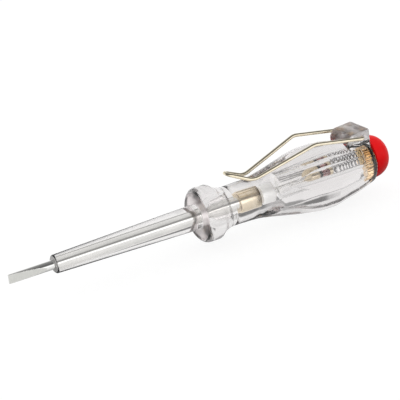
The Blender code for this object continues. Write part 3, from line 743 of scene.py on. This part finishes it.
def make_socket():
    """The hollow in the handle's front for the sleeve's spigot."""
    radius = SPIGOT_RADIUS + SPIGOT_GAP
    front = HANDLE_FRONT - SEAT_GAP / 2
    rear = SPIGOT_REAR + SPIGOT_GAP
    corners = [(front, 0, 0), (front, radius, 0), (rear, radius, SPIGOT_EDGE), (rear, 0, 0)]
    return turned(corners, 3, radius_at=spigot_flats)


def make_handle(material):
    """The barrel with its lug, less the chamber, the socket and the clip's bore."""
    barrel = loose("handle_clear", make_barrel())
    tools = [(loose("lug_form", make_lug()), "UNION"), (loose("bore_form", make_bore()), "DIFFERENCE"),
             (loose("socket_form", make_socket()), "DIFFERENCE"),
             (loose("hole_form", make_hole()), "DIFFERENCE")]
    for tool, operation in tools:
        step = barrel.modifiers.new(operation, "BOOLEAN")
        step.operation = operation
        step.object = tool
        step.solver = "EXACT"
    bpy.context.view_layer.update()
    mesh = bpy.data.meshes.new_from_object(barrel.evaluated_get(bpy.context.evaluated_depsgraph_get()))
    barrel.modifiers.clear()
    mesh.transform(Matrix.Scale(MM, 4))
    barrel.data = mesh
    for tool, _ in tools:
        bpy.data.objects.remove(tool)
    mesh.materials.clear()
    mesh.materials.append(material)
    mesh.shade_smooth()
    mesh.set_sharp_from_angle(angle=SHARP_ANGLE)
    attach(barrel, "handle")
    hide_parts("handle_body")
    return barrel


def make_sleeve(material):
    """The sleeve, with an eight-sided spigot in the handle's socket."""
    shoulder = HANDLE_FRONT - SEAT_GAP
    corners = [(BLADE_BARE_LENGTH, 0, 0), (BLADE_BARE_LENGTH, SLEEVE_FRONT_RADIUS, SLEEVE_EDGE),
               (shoulder, SLEEVE_REAR_RADIUS, 0), (shoulder, SPIGOT_RADIUS, 0),
               (SPIGOT_REAR, SPIGOT_RADIUS, SPIGOT_EDGE), (SPIGOT_REAR, 0, 0)]
    shape = turned(corners, 5, radius_at=spigot_flats)
    return new_piece("sleeve_clear", shape, "handle", material, ["blade_sleeve"])


def make_sleeve_end(material):
    """A thin skin over the sleeve's cut end, round the blade."""
    gap = 0.005 * MM
    front = BLADE_BARE_LENGTH - 0.04 * MM
    rear = BLADE_BARE_LENGTH - gap
    inner = BLADE_RADIUS + gap
    outer = SLEEVE_FRONT_RADIUS - 0.35 * MM
    corners = [(front, inner, 0), (front, outer, 0.01 * MM), (rear, outer, 0), (rear, inner, 0)]
    shape = turned(corners, 2, SMALL_STEPS)
    return new_piece("sleeve_end_skin", shape, "handle", material)


def make_blade(steel, ground):
    """A round rod whose front end is ground to a flat tip, its width standing upright."""
    steps = 24
    least_sideways = 0.985
    least_slope = 0.05
    sharp = math.radians(12)
    outline = [(0, 0)] + [(BLADE_FLAT_LENGTH * i / steps, BLADE_RADIUS) for i in range(steps + 1)]
    outline += [(BLADE_REAR, BLADE_RADIUS), (BLADE_REAR, 0)]
    shape = outward(add_lathe(bmesh.new(), outline))
    for vertex in shape.verts:
        share = min((vertex.co.x + HALF_LENGTH) / BLADE_FLAT_LENGTH, 1.0)
        half = BLADE_TIP_HALF + (BLADE_RADIUS - BLADE_TIP_HALF) * share
        vertex.co.y = min(max(vertex.co.y, -half), half)
    shape.normal_update()
    for face in shape.faces:
        in_front = face.calc_center_median().x + HALF_LENGTH < BLADE_FLAT_LENGTH
        if in_front and abs(face.normal.y) > least_sideways and abs(face.normal.x) > least_slope:
            face.material_index = 1
    piece = new_piece("driver_rod", shape, "handle", steel, ["driver_blade"], sharp)
    piece.data.materials.append(ground)
    return piece


def make_bush(material):
    """The bush with its front rim, round the blade's end."""
    rim = 0.35 * MM
    edge = 0.08 * MM
    bore = BLADE_RADIUS * 0.6
    corners = [(BUSH_FRONT, bore, 0), (BUSH_FRONT, BUSH_RADIUS - rim, edge),
               (BUSH_FRONT + rim, BUSH_RADIUS, edge), (BUSH_REAR, BUSH_RADIUS, 0.15 * MM),
               (BUSH_REAR, bore, 0)]
    return new_piece("bush_turned", turned(corners, 3), "handle", material, ["contact_bush"])


def make_resistor(body_finish, lead_finish):
    """The coated body and its two leads."""
    end = 0.5 * MM
    edge = 0.08 * MM
    corners = [(RESISTOR_FRONT, 0, 0), (RESISTOR_FRONT, RESISTOR_RADIUS, end),
               (RESISTOR_REAR, RESISTOR_RADIUS, end), (RESISTOR_REAR, 0, 0)]
    new_piece("resistor_coated", turned(corners, 5), "handle", body_finish, ["resistor_body"])
    leads = (("lead_front", "resistor_lead_front", BUSH_REAR - 0.3 * MM, RESISTOR_FRONT + 0.2 * MM),
             ("lead_rear", "resistor_lead_rear", RESISTOR_REAR - 0.2 * MM, LAMP_FRONT + 0.1 * MM))
    for name, node, front, rear in leads:
        corners = [(front, 0, 0), (front, LEAD_RADIUS, edge), (rear, LEAD_RADIUS, edge), (rear, 0, 0)]
        new_piece(name, turned(corners, 2, steps=32), "handle", lead_finish, [node])


def make_lamp(brass, glass, dark):
    """Two cups with the bulb between them, a dark ring behind the front cup, and the electrodes."""
    cup = LAMP_CAP_RADIUS - LAMP_WALL
    thin = 0.05 * MM
    edge = 0.1 * MM
    cups = (("lamp_cup_front", "lamp_cap_front", LAMP_FRONT, LAMP_FRONT_BASE, LAMP_FRONT_CUP, 0.5 * MM),
            ("lamp_cup_rear", "lamp_cap_rear", LAMP_REAR, -LAMP_REAR_BASE, -LAMP_REAR_CUP, 0.3 * MM))
    for name, node, end, to_base, to_lip, end_edge in cups:
        base = end + to_base
        lip = end + to_lip
        corners = [(base, 0, 0), (base, cup, edge), (lip, cup, thin), (lip, LAMP_CAP_RADIUS, edge),
                   (end, LAMP_CAP_RADIUS, end_edge), (end, 0, 0)]
        shape = turned(corners, 3, SMALL_STEPS, rise=REAR_RISE)
        new_piece(name, shape, "handle", brass, [node])
    outer = cup - 0.02 * MM
    inner = cup - 0.5 * MM
    outer_end = 0.5 * MM
    inner_end = 0.4 * MM
    front = LAMP_FRONT + LAMP_FRONT_BASE + thin
    rear = LAMP_REAR - LAMP_REAR_BASE - thin
    corners = [(front, 0, 0), (front, outer, outer_end), (rear, outer, outer_end), (rear, 0, 0)]
    shape = turned(corners, 5, SMALL_STEPS, rise=REAR_RISE)
    hollow = [(front + LAMP_WALL, 0, 0), (front + LAMP_WALL, inner, inner_end),
              (rear - LAMP_WALL, inner, inner_end), (rear - LAMP_WALL, 0, 0)]
    inside = turned(hollow, 5, SMALL_STEPS, rise=REAR_RISE)
    bmesh.ops.reverse_faces(inside, faces=inside.faces)
    joined = bpy.data.meshes.new("hollow")
    inside.to_mesh(joined)
    inside.free()
    shape.from_mesh(joined)
    bpy.data.meshes.remove(joined)
    new_piece("lamp_bulb", shape, "handle", glass, ["lamp_glass"])
    # A dark ring behind the front cup, where the lamp's front end shows dark
    ring_front = LAMP_FRONT + LAMP_FRONT_CUP - edge
    ring_rear = LAMP_FRONT + LAMP_FRONT_CUP + DARK_RING_LENGTH
    corners = [(ring_front, cup - edge, 0), (ring_front, cup + thin, 0.02 * MM),
               (ring_rear, cup + thin, edge), (ring_rear, cup - edge, 0)]
    shape = turned(corners, 3, SMALL_STEPS, rise=REAR_RISE)
    new_piece("lamp_dark_ring", shape, "handle", dark)
    electrodes = (("electrode_front", "lamp_electrode_a", front, 1),
                  ("electrode_rear", "lamp_electrode_b", rear - ELECTRODE_LENGTH, -1))
    for name, node, start, side in electrodes:
        end = start + ELECTRODE_LENGTH
        corners = [(start, 0, 0), (start, ELECTRODE_RADIUS, thin), (end, ELECTRODE_RADIUS, thin),
                   (end, 0, 0)]
        shape = turned(corners, 2, steps=24, rise=REAR_RISE)
        bmesh.ops.translate(shape, verts=shape.verts, vec=(0, side * ELECTRODE_SIDE, 0))
        new_piece(name, shape, "handle", dark, [node])


def add_tube(shape, points, radius, sides):
    """A round tube along points, with its frame carried along the route so that it doesn't twist."""
    count = len(points)
    tangents = []
    for i in range(count):
        ahead = points[min(i + 1, count - 1)]
        behind = points[max(i - 1, 0)]
        tangents.append((ahead - behind).normalized())
    normal = tangents[0].orthogonal().normalized()
    rings = []
    for point, tangent in zip(points, tangents):
        normal = (normal - tangent * normal.dot(tangent)).normalized()
        side = tangent.cross(normal)
        rings.append([shape.verts.new(point + (normal * math.cos(math.tau * k / sides)
                                               + side * math.sin(math.tau * k / sides)) * radius)
                      for k in range(sides)])
    for first, second in zip(rings, rings[1:]):
        for k in range(sides):
            n = (k + 1) % sides
            shape.faces.new([first[k], first[n], second[n], second[k]])
    for ring, point in ((rings[0], points[0]), (rings[-1], points[-1])):
        middle = shape.verts.new(point)
        for k in range(sides):
            shape.faces.new([ring[k], ring[(k + 1) % sides], middle])
    return outward(shape)


def make_spring(material):
    """An open coil between the lamp and the screw."""
    steps = 40
    count = SPRING_TURNS * steps + 1
    first = SPRING_FRONT + SPRING_WIRE_RADIUS
    length = SPRING_REAR - SPRING_FRONT - 2 * SPRING_WIRE_RADIUS
    points = [at(first + length * i / (count - 1), SPRING_RADIUS, math.tau * i / steps, REAR_RISE)
              for i in range(count)]
    shape = add_tube(bmesh.new(), points, SPRING_WIRE_RADIUS, sides=12)
    return new_piece("spring_coil", shape, "handle", material, ["contact_spring"])


def knurled(along, radius, angle):
    """The insert's straight knurls, on its full radius only."""
    if radius < INSERT_RADIUS - 0.01 * MM:
        return radius
    wave = abs((angle * KNURL_COUNT / math.tau) % 1 - 0.5) * 2
    return radius - KNURL_DEPTH * (1 - wave)


def make_insert(material):
    chamfer = 0.3 * MM
    low = INSERT_RADIUS - chamfer - 0.1 * MM
    corners = [(INSERT_FRONT, INSERT_BORE, 0), (INSERT_FRONT, low, 0),
               (INSERT_FRONT + chamfer, INSERT_RADIUS, 0), (INSERT_REAR - chamfer, INSERT_RADIUS, 0),
               (INSERT_REAR, low, 0), (INSERT_REAR, INSERT_BORE, 0)]
    shape = turned(corners, 4, KNURL_COUNT * 8, knurled, REAR_RISE)
    return new_piece("insert_knurled", shape, "handle", material, ["threaded_insert"])


def make_seal(material):
    edge = 0.1 * MM
    corners = [(SEAL_FRONT, SEAL_BORE, 0), (SEAL_FRONT, SEAL_RADIUS, edge),
               (SEAL_REAR, SEAL_RADIUS, edge), (SEAL_REAR, SEAL_BORE, 0)]
    shape = turned(corners, rise=REAR_RISE)
    return new_piece("seal_rubber", shape, "seal", material, ["seal_ring"])


def make_cap(red):
    """The dome, open in front for the screw's head and behind for the touch contact."""
    arc_steps = 40
    round_steps = 128
    hole = TOUCH_RADIUS + 0.12 * MM
    edge = 0.25 * MM
    nick = 0.07 * MM
    room = CAP_FRONT + CAP_ROOM_DEPTH
    last = math.acos((hole / CAP_RADIUS) ** CAP_FULLNESS)
    outline = [(CAP_FRONT, CAP_ROOM_RADIUS), (CAP_FRONT, CAP_RADIUS - edge),
               (CAP_FRONT + nick, CAP_RADIUS - nick)]
    for i in range(arc_steps + 1):
        angle = last * i / arc_steps
        outline.append((CAP_FRONT + edge + (CAP_HEIGHT - edge) * math.sin(angle) ** (1 / CAP_FULLNESS),
                        CAP_RADIUS * math.cos(angle) ** (1 / CAP_FULLNESS)))
    outline += [(room, hole), (room, CAP_ROOM_RADIUS)]
    shape = outward(add_lathe(bmesh.new(), outline, round_steps, rise=REAR_RISE))
    return new_piece("cap_dome", shape, "cap", red, ["end_cap"])


def make_screw(brass, steel):
    """The screw with its nose, thread and head, and the touch contact behind it."""
    thread = SCREW_FRONT + SCREW_NOSE_LENGTH
    thin = 0.05 * MM
    edge = 0.2 * MM
    nose_rear = SCREW_NOSE_RADIUS + thin
    corners = [(SCREW_FRONT, 0, 0), (SCREW_FRONT, SCREW_NOSE_RADIUS, 0.3 * MM), (thread, nose_rear, 0),
               (thread, THREAD_ROOT, 0)]
    for i in range(THREAD_RIDGES):
        corners += [(thread + THREAD_PITCH * (i + 0.5), THREAD_CREST, thin),
                    (thread + THREAD_PITCH * (i + 1), THREAD_ROOT, thin)]
    head = CAP_FRONT + 0.3 * MM
    head_end = head + SCREW_HEAD_LENGTH
    corners += [(head, THREAD_ROOT, 0), (head, SCREW_HEAD_RADIUS, edge),
                (head_end, SCREW_HEAD_RADIUS, edge), (head_end, 0, 0)]
    shape = turned(corners, 2, rise=REAR_RISE)
    new_piece("screw_turned", shape, "cap", brass, ["cap_screw"])
    front = head_end + edge
    crown = TOOL_END - 0.25 * MM
    flat = 0.9 * MM
    corners = [(front, 0, 0), (front, TOUCH_RADIUS, 0.1 * MM), (crown, TOUCH_RADIUS, edge),
               (TOOL_END, flat, 0.4 * MM), (TOOL_END, 0, 0)]
    shape = turned(corners, steps=SMALL_STEPS, rise=REAR_RISE)
    new_piece("touch_button", shape, "cap", steel, ["touch_contact"])


def rounded_route(corners, steps):
    """Points along a wire's route through (point, bend radius) corners."""
    route = [corners[0][0]]
    for (before, _), (corner, radius), (after, _) in zip(corners, corners[1:], corners[2:]):
        arriving = (corner - before).normalized()
        leaving = (after - corner).normalized()
        turn = arriving.angle(leaving)
        reach = radius * math.tan(turn / 2)
        start = corner - arriving * reach
        inward = (leaving - arriving * arriving.dot(leaving)).normalized()
        center = start + inward * radius
        for i in range(steps + 1):
            angle = turn * i / steps
            route.append(center - inward * radius * math.cos(angle)
                         + arriving * radius * math.sin(angle))
    route.append(corners[-1][0])
    return route


def barrel_radius(along):
    """The handle's radius at a place along it, flutes left out."""
    outline = handle_outline()
    for (a0, r0), (a1, r1) in zip(outline, outline[1:]):
        if a0 <= along <= a1:
            return r0 + (r1 - r0) * (along - a0) / max(a1 - a0, 1e-9)
    return RIM_RADIUS


def clip_leg(side):
    """One leg's corners with their bend radii, from the stub in the lug to the tip past the neck."""
    leg_side = LUG_WIDTH / 2 + CLIP_GAP + WIRE_RADIUS
    low_side = CLIP_NECK_SPACING / 2
    tip_side = CLIP_TIP_SPACING / 2
    low_place = PIN_PLACE - CLIP_REAR_RUN - CLIP_FRONT_RUN
    low_reach = barrel_radius(low_place) + WIRE_RADIUS + CLIP_GAP
    low_height = math.sqrt(low_reach ** 2 - low_side ** 2)
    places = [(PIN_PLACE, leg_side - CLIP_STUB_LENGTH, PIN_HEIGHT, 0),
              (PIN_PLACE, leg_side, PIN_HEIGHT, CLIP_STUB_BEND),
              (PIN_PLACE - CLIP_REAR_RUN, leg_side, CLIP_BEND_HEIGHT, CLIP_REAR_BEND),
              (low_place, low_side, low_height, CLIP_NECK_BEND),
              (low_place - CLIP_CURL_RUN, tip_side, low_height + CLIP_CURL_RISE, tip_side)]
    return [(Vector((along - HALF_LENGTH, y * side, AXIS_HEIGHT + z)), radius)
            for along, y, z, radius in places]


def make_clip(material):
    """One bent wire, from the near stub round the tip to the far stub."""
    corners = clip_leg(1) + clip_leg(-1)[::-1]
    shape = add_tube(bmesh.new(), rounded_route(corners, steps=14), WIRE_RADIUS, sides=24)
    return new_piece("clip_bent", shape, "clip", material, ["clip_wire"])


# Studio
def make_camera():
    """The photograph's camera."""
    data = bpy.data.cameras.new("photo_camera")
    data.lens = CAMERA_LENS
    data.sensor_width = 36
    data.clip_start = 0.01
    data.clip_end = 50
    camera = bpy.data.objects.new("photo_camera", data)
    bpy.context.scene.collection.objects.link(camera)
    rotation = Matrix((CAMERA_RIGHT, CAMERA_UP, CAMERA_BACK)).transposed().to_4x4()
    camera.matrix_world = Matrix.Translation(CAMERA_PLACE) @ rotation
    bpy.context.scene.camera = camera


class Studio(Nodes):
    """The nodes of the floor or the world. The camera sees both as white. Gloss and glass see a studio
    with soft shades in it."""

    def __init__(self, tree):
        super().__init__(tree)
        self.place = self.nodes.new("ShaderNodeTexCoord").outputs
        path = self.nodes.new("ShaderNodeLightPath").outputs
        self.by_camera = path["Is Camera Ray"]
        self.by_glass = path["Is Transmission Ray"]
        self.inside = self.math("MAXIMUM", path["Is Glossy Ray"], self.by_glass)

    def shades(self, value, stops):
        """A grey that follows a value through (value, grey) stops."""
        low = stops[0][0]
        reach = stops[-1][0] - low
        share = self.math("MULTIPLY_ADD", value, 1 / reach, -low / reach)
        return self.ramp(share, *[((place - low) / reach, grey) for place, grey in stops])

    def screened(self, shade, first, first_stops, second, second_stops):
        """A shade with the dark screen over it, where both of two values are in the screen's range."""
        share = self.math("MULTIPLY", self.shades(first, first_stops),
                          self.shades(second, second_stops))
        return self.mix(share, shade, SCREEN_GREY)


def make_floor():
    """A pale floor that keeps the tool's shadow. For gloss and glass its glow also has a painted shadow
    under the tool and a painted dark patch behind the tool's rear end."""
    mesh = bpy.data.meshes.new("floor")
    reach = 3.0
    low = -0.1 * MM
    corners = [(-reach, -reach, low), (reach, -reach, low), (reach, reach, low), (-reach, reach, low)]
    mesh.from_pydata(corners, [], [(0, 1, 2, 3)])
    floor = bpy.data.objects.new("floor", mesh)
    bpy.context.scene.collection.objects.link(floor)
    finish = bpy.data.materials.new("floor_paper")
    finish.use_nodes = True
    studio = Studio(finish.node_tree)
    shader = studio.nodes["Principled BSDF"]
    shader.inputs["Roughness"].default_value = 0.9
    shader.inputs["Base Color"].default_value = (FLOOR_GREY, FLOOR_GREY, FLOOR_GREY, 1)
    place = studio.split(studio.place["Object"])
    # Painted shadow under the tool and the screen's painted dark patch, in the glow for gloss and glass
    gloss = studio.shades(place["Y"], FLOOR_GLOSS_SHADES)
    glass = studio.screened(studio.shades(place["Y"], FLOOR_GLASS_SHADES), place["X"], SCREEN_PLACES,
                            place["Y"], SCREEN_DEPTHS)
    shade = studio.mix(studio.by_glass, gloss, glass)
    seen = studio.math("MAXIMUM", studio.inside, studio.by_camera)
    studio.feed(shader.inputs["Emission Color"], studio.mix(studio.inside, 1.0, shade))
    studio.feed(shader.inputs["Emission Strength"], studio.math("MULTIPLY", seen, FLOOR_GLOW))
    mesh.materials.append(finish)


def make_world():
    """A white studio for the camera and for matt surfaces. For gloss and glass it has bands of light
    and shade round the tool's length, and it is darker towards the tool's two ends."""
    world = bpy.data.worlds.new("studio")
    bpy.context.scene.world = world
    world.use_nodes = True
    studio = Studio(world.node_tree)
    way = studio.split(studio.place["Generated"])
    turn = studio.math("ARCTAN2", way["Z"], studio.math("MULTIPLY", way["Y"], -1.0))
    height = studio.math("MULTIPLY", turn, math.degrees(1))
    gloss = studio.shades(height, GLOSS_SHADES)
    glass = studio.screened(studio.shades(height, GLASS_SHADES), height, SCREEN_HEIGHTS,
                            way["X"], SCREEN_WAYS)
    bands = studio.mix(studio.by_glass, gloss, glass)
    ends = studio.mix(studio.by_glass, studio.shades(way["X"], GLOSS_WAYS),
                      studio.shades(way["X"], GLASS_WAYS))
    shade = studio.mix(1.0, bands, ends, "MULTIPLY")
    background = studio.nodes["Background"]
    studio.feed(background.inputs["Color"], studio.mix(studio.inside, 1.0, shade))
    background.inputs["Strength"].default_value = 1.0


scene = bpy.context.scene
scene.view_settings.view_transform = "Standard"

clear = clear_finish("clear_moulded")
sleeve_clear = clear_finish("clear_drawn", 0.008 * MM, 0.03)
sawn = sawn_finish("clear_sawn")
steel = steel_finish("steel_drawn")
ground = ground_finish("steel_ground")
bush_brass = brass_finish("brass_turned", (0.84, 0.72, 0.54), (0.94, 0.84, 0.68))
cup_brass = brass_finish("brass_pale", (0.58, 0.49, 0.36), (0.82, 0.72, 0.56), 0.1, 0.2)
gold_brass = brass_finish("brass_bright", (0.80, 0.56, 0.26), (0.92, 0.72, 0.40))
knurl_brass = brass_finish("brass_knurled", (0.74, 0.49, 0.27), (0.96, 0.76, 0.50), 0.06, 0.16)
nickel = wire_finish("wire_passivated", (0.78, 0.70, 0.53), (0.90, 0.82, 0.65), 0.05, 0.12)
tinned = wire_finish("wire_tinned", (0.70, 0.70, 0.69), (0.86, 0.86, 0.85), 0.15, 0.3)
bright = wire_finish("wire_bright", (0.34, 0.34, 0.35), (0.55, 0.55, 0.56), 0.05, 0.12)
coat = coat_painted_glow_finish("resistor_coat_painted_glow")
bulb = lamp_finish("bulb_pink")
dark = dark_finish("electrode_dark")
rubber = rubber_finish("rubber_black")
red = red_finish("plastic_red")

make_handle(clear)
make_sleeve(sleeve_clear)
make_sleeve_end(sawn)
make_blade(steel, ground)
make_bush(bush_brass)
make_resistor(coat, tinned)
make_lamp(cup_brass, bulb, dark)
make_spring(bright)
make_insert(knurl_brass)
make_seal(rubber)
make_cap(red)
make_screw(gold_brass, steel)
make_clip(nickel)

make_camera()
make_floor()
make_world()
